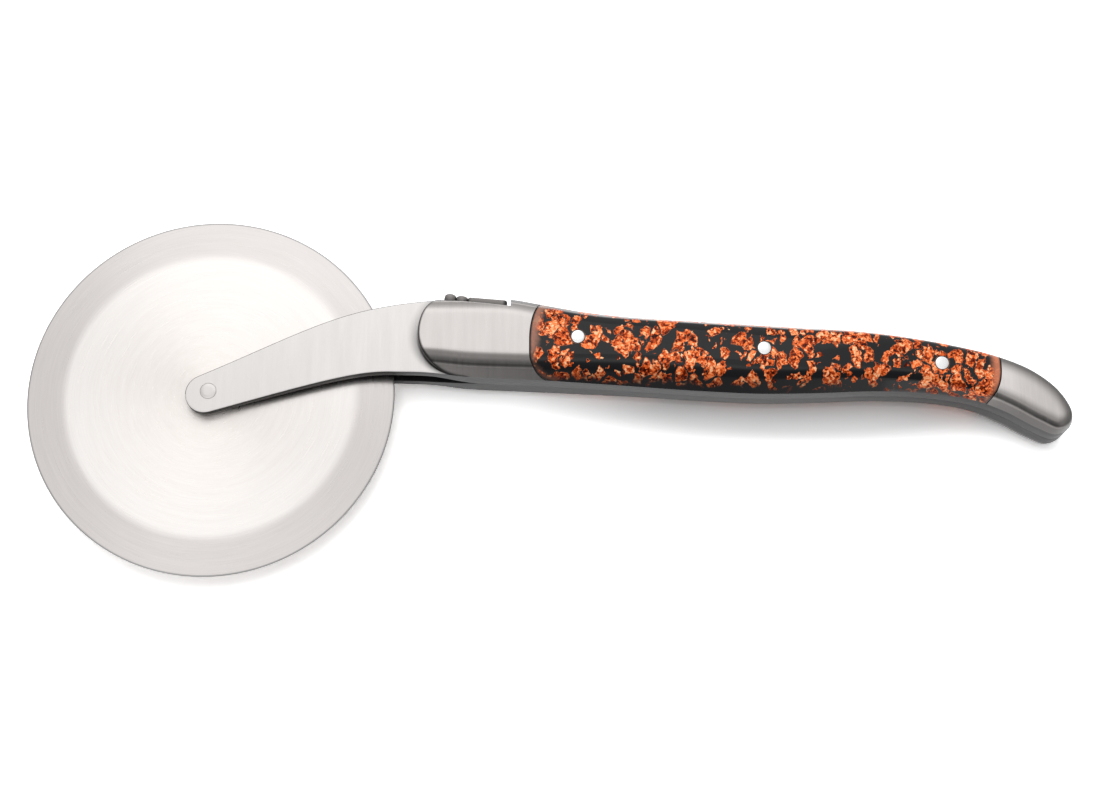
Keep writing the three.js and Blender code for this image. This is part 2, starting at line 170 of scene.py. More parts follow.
# Mesh lines: shares across the facet and the shoulder, millimetres in from an edge, and counts.
FACET_SHARES = (0.0, 0.2, 0.4, 0.6, 0.75, 0.84, 0.9, 0.95, 1.0)
SHOULDER_SHARES = (0.03, 0.06, 0.1, 0.16, 0.24, 0.34, 0.45, 0.56, 0.68, 0.8, 0.9, 1.0)
STRIP = [(share, 0.0) for share in FACET_SHARES] + [(1.0, share) for share in SHOULDER_SHARES]
NOSE_ROWS = (0.0, 0.02, 0.06, 0.13, 0.22, 0.33, 0.45, 0.6)
JOINT_ROWS = (0.0, 0.02, 0.05, 0.09, 0.16, 0.4)
STEP_ROWS = (0.0, 0.03, 0.08, 0.14, 0.2, 0.35)
LAND_LINES = 14
SHELF_LINES = 15
BOLSTER_ROWS = 20
STEP_TO_JOINT_ROWS = 6
SCALE_ROWS = 108
TAIL_ROWS = 159
TAIL_LAND_LINES = 8
TAIL_BOW_ROWS = 30
TAIL_STRIP = 40.0
ROUND_STEPS = 60
SHELF_STEPS = 12

# Painted light and shade on the bolsters' steel, as a tone: the facet, the shoulder next to the ridge, and
# the shares of the shoulder between which it brightens to the land. NOSE_TONE darkens the nose's rounding.
# TAIL stands for what changes at the tail.
FACET_TONE = {"belly": 0.28, "back": 0.13}
SHOULDER_TONE = {"belly": 0.295, "back": 0.5}
BRIGHTENS = {"belly": (0.72, 1.06), "back": (0.1, 0.75)}
TAIL_BRIGHTENS = {"belly": (-0.3, 0.8), "back": (-0.1, 1.1)}
TAIL_BLEND = 4.0
TAIL_FACET_LOSS = 0.36
TAIL_SHOULDER_LOSS = 0.42
TAIL_GAIN = 0.22
TAIL_GAIN_LOSS = 0.15
TAIL_GAIN_LENGTH = 6.0
NOSE_TONE = 0.1
NOSE_TONE_REACH = (0.12, 0.6)

# A painted highlight along the ridge and the painted shade of a crease in the belly's shoulder: strength,
# place past the ridge and width.
RIDGE_EDGE = (-0.05, 0.12)
RIDGE_LINE = (0.8, 0.14)
TAIL_RIDGE_LINE = (-0.6, -0.08)
CREASE = (0.42, 0.4, 0.2)


# Curves and distances.


def smooth(x, low, high):
    t = np.clip((np.asarray(x, float) - low) / (high - low), 0, 1)
    return t * t * (3 - 2 * t)


def rounded(distance, radius):
    """Drop of a surface at a distance from an edge that has a rounding radius."""
    short = np.clip(radius - distance, 0, radius)
    return radius - np.sqrt(radius * radius - short * short)


def catmull_rom(points, steps):
    """A centripetal curve through points, in steps between them."""
    points = np.array(points, float)
    padded = np.vstack([2 * points[0] - points[1], points, 2 * points[-1] - points[-2]])
    u = (np.arange(steps) / steps)[:, None]
    runs = []
    for p0, p1, p2, p3 in zip(padded, padded[1:], padded[2:], padded[3:]):
        d0, d1, d2 = (np.dot(b - a, b - a) ** 0.25 for a, b in ((p0, p1), (p1, p2), (p2, p3)))
        t1 = ((p1 - p0) / d0 - (p2 - p0) / (d0 + d1) + (p2 - p1) / d1) * d1
        t2 = ((p2 - p1) / d1 - (p3 - p1) / (d1 + d2) + (p3 - p2) / d2) * d1
        runs.append(p1 + t1 * u + (3 * (p2 - p1) - 2 * t1 - t2) * u**2 + (2 * (p1 - p2) + t1 + t2) * u**3)
    return np.vstack([*runs, points[-1:]])


def bezier(*corners):
    """A cubic curve over four control points."""
    t = np.linspace(0, 1, ROUND_STEPS)[:, None]
    p0, p1, p2, p3 = (np.array(p, float) for p in corners)
    return p0 * (1 - t) ** 3 + 3 * p1 * t * (1 - t) ** 2 + 3 * p2 * t**2 * (1 - t) + p3 * t**3


# The outline from the front of the back round the tail to the front of the belly, the way inward, the points
# of each side and how much a point belongs to the back.
OUTLINE = catmull_rom([(FRONT + share * LENGTH, y, lean) for share, y, lean in HANDLE_OUTLINE], OUTLINE_STEPS)
EDGE = OUTLINE[:, :2]
LEAN = OUTLINE[:, 2]
WIDTH = SHOULDER + (TAIL_SHOULDER - SHOULDER) * smooth(EDGE[:, 0], TAIL - 3 * REAR_LENGTH, REAR_JOINT[0])
ALONG = np.gradient(EDGE, axis=0)
INWARD = np.stack([ALONG[:, 1], -ALONG[:, 0]], 1)
INWARD /= np.linalg.norm(INWARD, axis=1)[:, None]
TURN = int(np.argmax(EDGE[:, 0]))
SIDES = {"back": np.arange(TURN + 1), "belly": np.arange(TURN, len(EDGE))[::-1]}
BACKNESS = smooth(np.arange(len(EDGE)), TURN + 2 * OUTLINE_STEPS, TURN)


def outer_height(x):
    """Height of the fork's outer face: thin at the tip, full at the bolster, thinner at the tang."""
    return np.interp(x, [TIP_RADIUS, FRONT, *TAPER], [TIP_HALF, FORK_HALF, FORK_HALF, TANG_HALF])


def inner_height(x):
    """Height of the fork's inner face: the slot, then the seam."""
    return np.interp(x, [SLOT_END, SLOT_POINT], [SLOT_HALF, SEAM_HALF])


def shelf_line(x):
    return SHELF_Y - (np.asarray(x) - SHELF_X) * SHELF_FALL


def inset_line(side, facet, shoulder):
    """A line, y over x, so many facets and shoulders in from one edge of the handle."""
    pick = SIDES[side]
    inset = facet * LEAN[pick] + shoulder * WIDTH[pick]
    line = EDGE[pick] + INWARD[pick] * inset[:, None]
    order = np.argsort(line[:, 0])
    return lambda x: np.interp(x, line[order, 0], line[order, 1])


def segment_distances(points, corners):
    """Distance of points to each segment of a polyline, and how far along it that is."""
    start, step = corners[:-1], np.diff(corners, axis=0)
    away = points[:, None] - start
    t = np.clip((away * step).sum(2) / (step * step).sum(1), 0, 1)
    return np.linalg.norm(away - t[..., None] * step, axis=2), t


def nearest_edge(points, chunk_size=1500):
    """Distance of plan points to the handle's edge, and the lean, shoulder, x and backness there."""
    found = []
    for chunk in np.array_split(points, max(1, len(points) // chunk_size)):
        gap, t = segment_distances(chunk, EDGE)
        k = gap.argmin(1)
        i = np.arange(len(k))
        blend = lambda values: values[k] + (values[k + 1] - values[k]) * t[i, k]
        found.append(np.stack([gap[i, k], *map(blend, (LEAN, WIDTH, EDGE[:, 0], BACKNESS))], 1))
    return np.vstack(found).T


def crown_height(points):
    """Height of a side of the handle: facet, rounded ridge, shoulder and flat land."""
    inset, lean, width, x, _ = nearest_edge(points)
    foot = outer_height(x) + SEAM
    u = inset - lean
    steep = (RIDGE - foot) / lean
    soft = 2 * (LAND - RIDGE) / width
    reach = np.minimum(RIDGE_ROUND, RIDGE_ROUND_SHARE * lean)
    corner = (steep + soft) / 2 * u + (soft - steep) / (4 * reach) * (u * u + reach**2)
    bend = np.where(np.abs(u) < reach, corner, np.where(u < 0, steep * u, soft * u))
    t = np.clip(u / width, 0, 1)
    height = np.where(t < 1, RIDGE + bend - (LAND - RIDGE) * t * t, LAND)
    fall = TAIL_DROP * np.clip((points[:, 0] - REAR_JOINT[0]) / REAR_LENGTH, 0, 1) ** 2
    return height - fall * (height - foot) / (LAND - foot)


def facet_tone(points):
    """Painted light and shade on the steel: a darker facet and shoulder, a highlight line on the ridge, a
    full land.
    """
    inset, lean, width, x, back = nearest_edge(points)
    u = inset - lean
    tail = smooth(x, REAR_JOINT[0] - TAIL_BLEND, REAR_JOINT[0])

    def both(belly_value, back_value):
        return belly_value + (back_value - belly_value) * back

    def brighter(side):
        (low, high), (tail_low, tail_high) = BRIGHTENS[side], TAIL_BRIGHTENS[side]
        return smooth(u / width, low + tail_low * tail, high + tail_high * tail)

    facet = both(FACET_TONE["belly"], FACET_TONE["back"]) * (1 - TAIL_FACET_LOSS * tail)
    shoulder_painted_shade = both(SHOULDER_TONE["belly"], SHOULDER_TONE["back"] - TAIL_SHOULDER_LOSS * tail)
    shoulder = shoulder_painted_shade + (1 - shoulder_painted_shade) * both(brighter("belly"), brighter("back"))
    tone = facet + (shoulder - facet) * smooth(u, *RIDGE_EDGE)
    depth, past, crease_width = CREASE
    crease = depth * (1 - back) * np.exp(-(((u - past) / crease_width) ** 2))
    strength, ridge_width = (full + change * tail for full, change in zip(RIDGE_LINE, TAIL_RIDGE_LINE))
    ridge = strength * np.exp(-((u / ridge_width) ** 2))
    behind = smooth(points[:, 0], REAR_JOINT[0], REAR_JOINT[0] + TAIL_GAIN_LENGTH)
    return tone * (1 + ridge) * (1 - crease) * (1 + tail * (TAIL_GAIN - TAIL_GAIN_LOSS * behind))


def edge_x(edge, y):
    """How far along a curved edge stands at a height."""
    x, side, (back_y, back_x, rise), (belly_y, belly_x, drop) = edge
    up = np.clip((y - back_y) / rise, 0, 1)
    down = np.clip((belly_y - y) / drop, 0, 1)
    return x + side * (back_x * (1 - np.sqrt(1 - up * up)) + belly_x * (1 - np.sqrt(1 - down * down)))


def polyline_distance(points, corners):
    gap, _ = segment_distances(points, np.array(corners, float))
    return gap.min(1)


def edge_distance(points, edge):
    """Distance from a curved edge, negative on the side that it bulges to."""
    x, side, (back_y, back_x, rise), (belly_y, belly_x, drop) = edge
    turn = np.linspace(0, math.pi / 2, ROUND_STEPS)
    back = np.stack([x + side * back_x * (1 - np.cos(turn)), back_y + rise * np.sin(turn)], 1)
    belly = np.stack([x + side * belly_x * (1 - np.cos(turn)), belly_y - drop * np.sin(turn)], 1)
    gap = polyline_distance(points, np.vstack([belly[:0:-1], back]))
    return gap * np.where(side * (points[:, 0] - edge_x(edge, points[:, 1])) < 0, -1, 1)


def crossing(line, edge):
    """Where a line, y over x, meets a curved edge, found by halving."""
    x, side, _, _ = edge
    low, high = sorted(x + side * reach for reach in EDGE_SEARCH)
    for _ in range(50):
        middle = (low + high) / 2
        if middle < edge_x(edge, line(middle)):
            low = middle
        else:
            high = middle
    return middle


# Meshes.


def grid_faces(index):
    """Quads over an array of point numbers; -1 marks no point."""
    quads = np.stack([index[:-1, :-1], index[1:, :-1], index[1:, 1:], index[:-1, 1:]], -1).reshape(-1, 4)
    return [tuple(int(i) for i in quad) for quad in quads if quad.min() >= 0]


def tube_faces(rings, count):
    """Faces of a body made of rings of points, closed by a face at each end."""
    index = np.arange(rings * count).reshape(rings, count)
    faces = grid_faces(np.column_stack([index, index[:, :1]]))
    faces.append(tuple(int(i) for i in index[0]))
    faces.append(tuple(int(i) for i in index[-1][::-1]))
    return faces


def lathe(profile, segments):
    """A solid round the axle from a profile of radius and height that ends on the axis or is closed."""
    turn = np.linspace(0, 2 * math.pi, segments, endpoint=False)
    points = [(r * math.cos(a), r * math.sin(a), z) for r, z in profile for a in turn]
    index = np.arange(len(points)).reshape(len(profile), segments)
    if profile[0][0] > 0:
        index = np.vstack([index, index[:1]])
    return np.array(points), grid_faces(np.column_stack([index, index[:, :1]]))


def put(name, data):
    thing = bpy.data.objects.new(name, data)
    bpy.context.scene.collection.objects.link(thing)
    return thing


def mesh_object(name, points, faces):
    mesh = bpy.data.meshes.new(name)
    mesh.from_pydata([tuple(p) for p in points], [], faces)
    return put(name, mesh)


def clean(mesh, same=1e-8):
    """Joins doubled points, drops empty faces and turns every face outward."""
    work = bmesh.new()
    work.from_mesh(mesh)
    bmesh.ops.remove_doubles(work, verts=work.verts, dist=same)
    bmesh.ops.dissolve_degenerate(work, edges=work.edges, dist=same)
    bmesh.ops.recalc_face_normals(work, faces=work.faces)
    work.to_mesh(mesh)
    work.free()


def shade(piece, sharp):
    """Smooth shading, with sharp edges over an angle in degrees."""
    piece.data.polygons.foreach_set("use_smooth", [True] * len(piece.data.polygons))
    piece.data.set_sharp_from_angle(angle=math.radians(sharp))


SHARP = 35
FLY_SHARP = 50


def build(name, points, faces, materials, nodes, body="handle", sharp=SHARP, turn=1, values=None,
          holes=(), centre=None):
    """A mesh piece that stands for CAD nodes.

    A turn of -1 mirrors it, values are point attributes, and centre is its own origin in plan.
    """
    points = np.array(points, float) * (1, 1, turn)
    if turn < 0:
        faces = [tuple(reversed(face)) for face in faces]
    origin = place((*centre, 0)) if centre else np.zeros(3)
    piece = mesh_object(name, place(points) - origin, faces)
    piece.location = origin
    for key, numbers in (values or {}).items():
        layer = piece.data.attributes.new(key, "FLOAT", "POINT")
        layer.data.foreach_set("value", np.asarray(numbers, np.float32))
    clean(piece.data)
    for hole in holes:
        drill(piece, *hole)
    for material in materials:
        piece.data.materials.append(material)
    shade(piece, sharp)
    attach(piece, body)
    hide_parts(*nodes)
    return piece


def bore(radius, low, top, chamfer, turn, past=2.0):
    """Profile of a bore from one height past another, with a chamfer there; a turn of -1 mirrors it."""
    wide, end = radius + chamfer, top + past
    profile = [(0, low), (radius, low), (radius, top - chamfer), (wide, top), (wide, end), (0, end)]
    return [(r, turn * z) for r, z in profile]


def drill(piece, centre, profile, segments=64):
    """Cuts a bore with a centre in plan and a profile of radius and height."""
    points, faces = lathe(profile, segments)
    cutter = mesh_object("bore", place(points + (*centre, 0)), faces)
    clean(cutter.data)
    cut = piece.modifiers.new("bore", "BOOLEAN")
    cut.object = cutter
    cut.solver = "EXACT"
    whole = piece.evaluated_get(bpy.context.evaluated_depsgraph_get())
    mesh = bpy.data.meshes.new_from_object(whole)
    piece.modifiers.clear()
    piece.data = mesh
    mesh.name = piece.name
    bpy.data.objects.remove(cutter)


# Node helpers.


def material_of(name):
    material = bpy.data.materials.new(name)
    material.use_nodes = True
    tree = material.node_tree
    tree.nodes.clear()
    shader = add(tree, "BsdfPrincipled")
    add(tree, "OutputMaterial", {"Surface": shader.outputs["BSDF"]})
    return material, tree, shader


def feed(tree, node, inputs):
    """Links or sets inputs of a node."""
    for key, value in inputs.items():
        if isinstance(value, bpy.types.NodeSocket):
            tree.links.new(value, node.inputs[key])
        else:
            node.inputs[key].default_value = value


def add(tree, kind, inputs=None, **settings):
    """A shader node with its inputs and settings."""
    node = tree.nodes.new("ShaderNode" + kind)
    for key, value in settings.items():
        setattr(node, key, value)
    feed(tree, node, inputs or {})
    return node


def maths(tree, operation, a, b=0.0, c=0.0):
    return add(tree, "Math", {0: a, 1: b, 2: c}, operation=operation).outputs[0]


def times(tree, a, b):
    return maths(tree, "MULTIPLY", a, b)


def vector_maths(tree, operation, a, b, c=(0, 0, 0), output="Vector"):
    return add(tree, "VectorMath", {0: a, 1: b, 2: c}, operation=operation).outputs[output]


def remap(tree, value, low, high, to_low, to_high, kind="LINEAR"):
    inputs = {"Value": value, "From Min": low, "From Max": high, "To Min": to_low, "To Max": to_high}
    return add(tree, "MapRange", inputs, interpolation_type=kind).outputs["Result"]


def ramp(tree, value, stops):
    node = add(tree, "ValToRGB", {"Fac": value})
    while len(node.color_ramp.elements) < len(stops):
        node.color_ramp.elements.new(0.5)
    for element, (at, colour) in zip(node.color_ramp.elements, stops):
        element.position = at
        element.color = (*colour, 1)
    return node.outputs["Color"]


def mixed(tree, share, a, b, blend="MIX"):
    node = add(tree, "Mix", {0: share, 6: a, 7: b}, data_type="RGBA", blend_type=blend)
    return node.outputs[2]


def own_place(tree):
    return add(tree, "TexCoord").outputs["Object"]


def apart(tree, vector):
    return add(tree, "SeparateXYZ", {"Vector": vector}).outputs


def attribute(tree, name):
    return add(tree, "Attribute", attribute_name=name).outputs["Fac"]


def noise(tree, where, scale, detail, rough):
    """Noise with its own scale along each axis, per metre."""
    stretched = add(tree, "Mapping", {"Vector": where, "Scale": scale}).outputs["Vector"]
    inputs = {"Vector": stretched, "Scale": 1.0, "Detail": detail, "Roughness": rough}
    return add(tree, "TexNoise", inputs).outputs["Fac"]


def grey(tree, level):
    return add(tree, "CombineColor", {0: level, 1: level, 2: level}).outputs[0]


def toned(tree, colour, tone):
    return mixed(tree, 1.0, colour, grey(tree, tone), "MULTIPLY")


# Steel: scales per metre of the fine and the broad streaks, the fine ones' share of the tint, how far they
# move the roughness, and their depth in metres.
ACROSS = ((3200, 110, 110), (600, 60, 60))
LENGTHWISE = ((140, 140, 4500), (60, 60, 900))
FINE_SHARE = 0.6
ROUGH_SPREAD = 0.06
STREAK_DEPTH = 0.00005


def brush(tree, shader, colour, streaks, rough, bump, axis, spread):
    """Makes a shader a metal with the roughness, relief and stretched sheen of streaks."""
    raised = add(tree, "Bump", {"Height": streaks, "Strength": bump, "Distance": STREAK_DEPTH})
    tangent = add(tree, "Tangent", direction_type="RADIAL", axis=axis)
    feed(tree, shader, {
        "Base Color": colour,
        "Metallic": 1.0,
        "Roughness": remap(tree, streaks, 0.3, 0.7, rough - ROUGH_SPREAD, rough + ROUGH_SPREAD),
        "Normal": raised.outputs["Normal"],
        "Tangent": tangent.outputs["Tangent"],
        "Anisotropic": spread,
        "Anisotropic Rotation": 0.25,
    })


def steel(name, colours, rough, streaks, axis, bump=0.12, spread=0.5, tone=None):
    """Brushed steel between two colours, tinted and raised by streaks and times a tone of painted shade."""
    material, tree, shader = material_of(name)
    where = own_place(tree)
    fine, broad = streaks
    thin = noise(tree, where, fine, 4.0, 0.6)
    wide = noise(tree, where, broad, 2.0, 0.5)
    both = maths(tree, "MULTIPLY_ADD", wide, 1 - FINE_SHARE, times(tree, thin, FINE_SHARE))
    colour = ramp(tree, both, [(0.32, colours[0]), (0.68, colours[1])])
    if tone:
        colour = toned(tree, colour, tone(tree, where))
    brush(tree, shader, colour, thin, rough, bump, axis, spread)
    return material


# The tone attribute of the bolsters and the fly plate carries painted light and shade.
def by_attribute(tree, where):
    return attribute(tree, "tone")


# Stretches along the walls of the fork, in millimetres from the axle, and the painted-shade tone before and
# after each.
WALL_TONES = ((33.0, 46.0, 0.3, 1.0), (118.0, 146.0, 1.0, 0.6), (150.0, 166.0, 1.0, 1.4))


def by_root(tree, where):
    """Painted shade on the walls: nearly black on the arm's walls, lighter behind its root and darker where
    the belly turns down.
    """
    x = apart(tree, where)["X"]
    tone = 1.0
    for start, end, before, after in WALL_TONES:
        step = remap(tree, x, AXLE[0] + MM * start, AXLE[0] + MM * end, before, after, "SMOOTHSTEP")
        tone = times(tree, tone, step)
    return tone


# A soft and a tight shade on the arm beside the nose: the reach ahead of the nose and the heights over its
# middle, in millimetres, and the tones at those heights.
NOSE_SHADES = (((0.0, 2.6), (-7.0, 5.0), (0.42, 0.7)), ((0.1, 0.6), (-7.0, 3.0), (0.1, 0.7)))


def by_nose(tree, where):
    """Darker on the arm next to the bolster's nose, most of all under its belly."""
    nose_x, _, (nose_y, back_x, rise), (_, belly_x, drop) = NOSE
    axle_x, axle_y, _ = AXLE / MM
    x, y, _ = apart(tree, where)
    along = maths(tree, "MULTIPLY_ADD", x, 1 / MM, -axle_x - nose_x)
    up = maths(tree, "MULTIPLY_ADD", y, 1 / MM, -axle_y - nose_y)
    gaps = []
    for setback, height in ((back_x, rise), (belly_x, -drop)):
        share = add(tree, "Math", {0: up, 1: height}, operation="DIVIDE", use_clamp=True).outputs[0]
        flat = maths(tree, "SQRT", maths(tree, "SUBTRACT", 1.0, times(tree, share, share)))
        gaps.append(maths(tree, "MULTIPLY_ADD", flat, -setback, setback))
    ahead = maths(tree, "SUBTRACT", maths(tree, "ADD", *gaps), along)
    tone = 1.0
    for reach, heights, tones in NOSE_SHADES:
        clear = remap(tree, ahead, *reach, 0.0, 1.0, "SMOOTHSTEP")
        darkest = remap(tree, up, *heights, *tones)
        tone = times(tree, tone, remap(tree, clear, 0.0, 1.0, darkest, 1.0))
    return tone


arm_face = steel("brushed_arm", ((0.73, 0.705, 0.69), (0.80, 0.775, 0.76)), 0.34, ACROSS, "X", tone=by_nose)
rivet_steel = steel("brushed_rivet", ((0.71, 0.685, 0.67), (0.78, 0.755, 0.74)), 0.34, ACROSS, "X")
# The fork's walls are ground steel, made far darker than steel as a painted shade.
arm_side = steel(
    "ground_side_painted_shade", ((0.078, 0.078, 0.078), (0.113, 0.113, 0.113)), 0.42, LENGTHWISE, "Z", tone=by_root
)
# The slot's inner faces are near black: painted shade.
slot_steel = steel("slot_painted_shade", ((0.03, 0.03, 0.03), (0.06, 0.06, 0.06)), 0.5, ACROSS, "X")
bolster_steel = steel(
    "brushed_bolster", ((0.63, 0.597, 0.578), (0.71, 0.672, 0.652)), 0.33, ACROSS, "X", tone=by_attribute
)
pin_steel = steel("polished_pin", ((0.93, 0.93, 0.93), (0.97, 0.97, 0.97)), 0.16, ACROSS, "X", 0.03, 0.0)
washer_steel = steel("plain_washer", ((0.50, 0.49, 0.48), (0.62, 0.61, 0.60)), 0.4, ACROSS, "Z")

# Turned steel of the wheel: middle, bevel, the rim's painted shade, and the middle's tints from the centre
# out.
WHEEL_MIDDLE = [(0.3, (0.88, 0.84, 0.815)), (0.7, (0.97, 0.945, 0.925))]
WHEEL_BEVEL = [(0.3, (0.69, 0.655, 0.64)), (0.7, (0.79, 0.75, 0.73))]
WHEEL_RIM = (0.3, 0.3, 0.3, 1)
WHEEL_TINTS = ((0.985, 0.965, 0.945, 1), (1.01, 1.005, 1.0, 1))
TINT_REACH = (4.0, 26.0)
BEVEL_BLEND = 1.2
RIM_BLEND = (0.4, 0.1)
WHEEL_FINE_SHARE = 0.65


def wheel_steel_material():
    """Turned steel: rings of fine lines, a paler middle, a greyer ground bevel and a rim darkened as painted
    shade.
    """
    material, tree, shader = material_of("turned_wheel")
    x, y, _ = apart(tree, own_place(tree))
    square = maths(tree, "ADD", times(tree, x, x), times(tree, y, y))
    radius = maths(tree, "SQRT", square)
    turn_x, turn_y = maths(tree, "DIVIDE", x, radius), maths(tree, "DIVIDE", y, radius)
    polar = add(tree, "CombineXYZ", {"X": radius, "Y": turn_x, "Z": turn_y}).outputs["Vector"]
    thin = noise(tree, polar, (5200, 3.0, 3.0), 4.0, 0.6)
    wide = noise(tree, polar, (1100, 2.2, 2.2), 3.0, 0.55)
    fine = times(tree, thin, WHEEL_FINE_SHARE)
    both = maths(tree, "MULTIPLY_ADD", wide, 1 - WHEEL_FINE_SHARE, fine)

    def past(start, end, kind="LINEAR"):
        return remap(tree, radius, start * MM, end * MM, 0.0, 1.0, kind)

    tint = mixed(tree, past(*TINT_REACH), *WHEEL_TINTS)
    middle = mixed(tree, 1.0, ramp(tree, both, WHEEL_MIDDLE), tint, "MULTIPLY")
    on_bevel = past(BEVEL_START - BEVEL_BLEND, BEVEL_START + BEVEL_BLEND, "SMOOTHSTEP")
    colour = mixed(tree, on_bevel, middle, ramp(tree, both, WHEEL_BEVEL))
    colour = mixed(tree, past(*(WHEEL_RADIUS - gap for gap in RIM_BLEND)), colour, WHEEL_RIM)
    brush(tree, shader, colour, thin, 0.32, 0.14, "Z", 0.8)
    return material


# Resin flakes are cells of three sizes with ragged edges: a start that sets the layers apart, the scale per
# metre, the share of cells that are kept and how far a flake is drawn in. There are more towards the tail.
RAGGED = ((420.0, 0.0008), (1700.0, 0.00025))
SHARD_LAYERS = (
    (57.0, (1000, 850, 900), 0.08, 0.1),
    (31.0, (520, 400, 450), 0.34, 0.14),
    (0.0, (350, 245, 300), 0.58, 0.17),
)
MORE_TO_TAIL = 1.6
SHARD_EDGE = 0.03

# How much broad cells, fine cells, grain and the flake itself shade it, and the copper from dark to light.
CRUMPLE_SHARES = (0.3, 0.4, 0.25, 0.05)
COPPER = [
    (0.24, (0.03, 0.002, 0.0003)), (0.34, (0.14, 0.012, 0.001)), (0.42, (0.36, 0.040, 0.004)),
    (0.50, (0.66, 0.095, 0.014)), (0.58, (0.95, 0.19, 0.045)), (0.67, (1.0, 0.33, 0.12)),
    (0.80, (1.0, 0.60, 0.34)),
]
BLACK_RESIN = (0.004, 0.004, 0.005, 1)
RESIN_SEAM = (0.006, 0.004, 0.004, 1)

# The haze at the ends: its colour at the front and the rear, the x where that changes, and the height below
# which it is darker, falling along the handle.
HAZE_FRONT = (0.30, 0.14, 0.095, 1)
HAZE_REAR = (0.50, 0.165, 0.085, 1)
HAZE_CHANGE = (0.03, 0.05)
HAZE_MIDDLE = 0.0067
HAZE_FALL = 0.077
HAZE_BLEND = 0.0025
HAZE_LOW_TONE = 0.3
HAZE_FULL = 0.9


def shaken(tree, at, scale, reach):
    """Places shaken about by noise, by a reach at most each way."""
    inputs = {"Vector": at, "Scale": scale, "Detail": 2.0, "Roughness": 0.5}
    colour = add(tree, "TexNoise", inputs).outputs["Color"]
    shake = vector_maths(tree, "SUBTRACT", colour, (0.5, 0.5, 0.5))
    return vector_maths(tree, "MULTIPLY_ADD", shake, (2 * reach, 2 * reach, 2 * reach), at)


def cells(tree, at, scale, feature="F1"):
    return add(tree, "TexVoronoi", {"Vector": at, "Scale": scale}, feature=feature).outputs


def shares(tree, colour):
    """Three random shares of a cell, from its colour."""
    return add(tree, "SeparateColor", {"Color": colour}).outputs


def shards(tree, ragged, x, start, scale, kept, gap):
    """A mask of the kept cells, each drawn in from its neighbours, and the cells' colour."""
    inputs = {"Vector": ragged, "Location": (start, 0, 0), "Scale": scale}
    at = add(tree, "Mapping", inputs).outputs["Vector"]
    colour = cells(tree, at, 1.0)["Color"]
    red, _, blue = shares(tree, colour)
    edge = cells(tree, at, 1.0, "DISTANCE_TO_EDGE")["Distance"]
    inside = remap(tree, maths(tree, "MULTIPLY_ADD", blue, -gap, edge), 0.0, SHARD_EDGE, 0.0, 1.0)
    chance = maths(tree, "MULTIPLY_ADD", x, -MORE_TO_TAIL, red)
    return times(tree, maths(tree, "LESS_THAN", chance, kept), inside), colour


def resin_flakes(tree, where, x):
    """A mask of the flakes in all layers, and a colour that tells them apart."""
    ragged = where
    for scale, reach in RAGGED:
        ragged = shaken(tree, ragged, scale, reach)
    flake, colour = shards(tree, ragged, x, *SHARD_LAYERS[0])
    for layer in SHARD_LAYERS[1:]:
        mask, own = shards(tree, ragged, x, *layer)
        flake = maths(tree, "MAXIMUM", flake, mask)
        colour = mixed(tree, mask, colour, own)
    return flake, colour


def crumple_shade(tree, where, colour):
    """Light and dark of the crumpled leaf, different on each flake."""
    spot = vector_maths(tree, "ADD", where, colour)
    crumpled = shaken(tree, spot, 1500.0, 0.0003)
    broad = shares(tree, cells(tree, crumpled, 1000.0)["Color"])[0]
    fine = shares(tree, cells(tree, crumpled, 1900.0)["Color"])[1]
    grain = remap(tree, noise(tree, spot, (2400, 2400, 2400), 2.0, 0.6), 0.3, 0.7, 0.0, 1.0)
    total = 0.0
    for share, part in zip(CRUMPLE_SHARES, (broad, fine, grain, shares(tree, colour)[1])):
        total = maths(tree, "MULTIPLY_ADD", part, share, total)
    return total


def end_haze(tree, where, x, y, end):
    """Strength and colour of the brown haze near the resin's ends."""
    mist = noise(tree, where, (700, 700, 700), 3.0, 0.6)
    brown = mixed(tree, remap(tree, x, *HAZE_CHANGE, 0.0, 1.0), HAZE_FRONT, HAZE_REAR)
    above = maths(tree, "MULTIPLY_ADD", x, HAZE_FALL, maths(tree, "SUBTRACT", y, HAZE_MIDDLE))
    low = remap(tree, above, -HAZE_BLEND, HAZE_BLEND, 1.0, 0.0, "SMOOTHSTEP")
    brown = toned(tree, brown, remap(tree, low, 0.0, 1.0, 1.0, HAZE_LOW_TONE))
    drift = maths(tree, "MULTIPLY_ADD", mist, 1.2, maths(tree, "MULTIPLY_ADD", low, 0.9, end))
    return remap(tree, drift, 1.5, 3.0, HAZE_FULL, 0.0, "SMOOTHSTEP"), brown


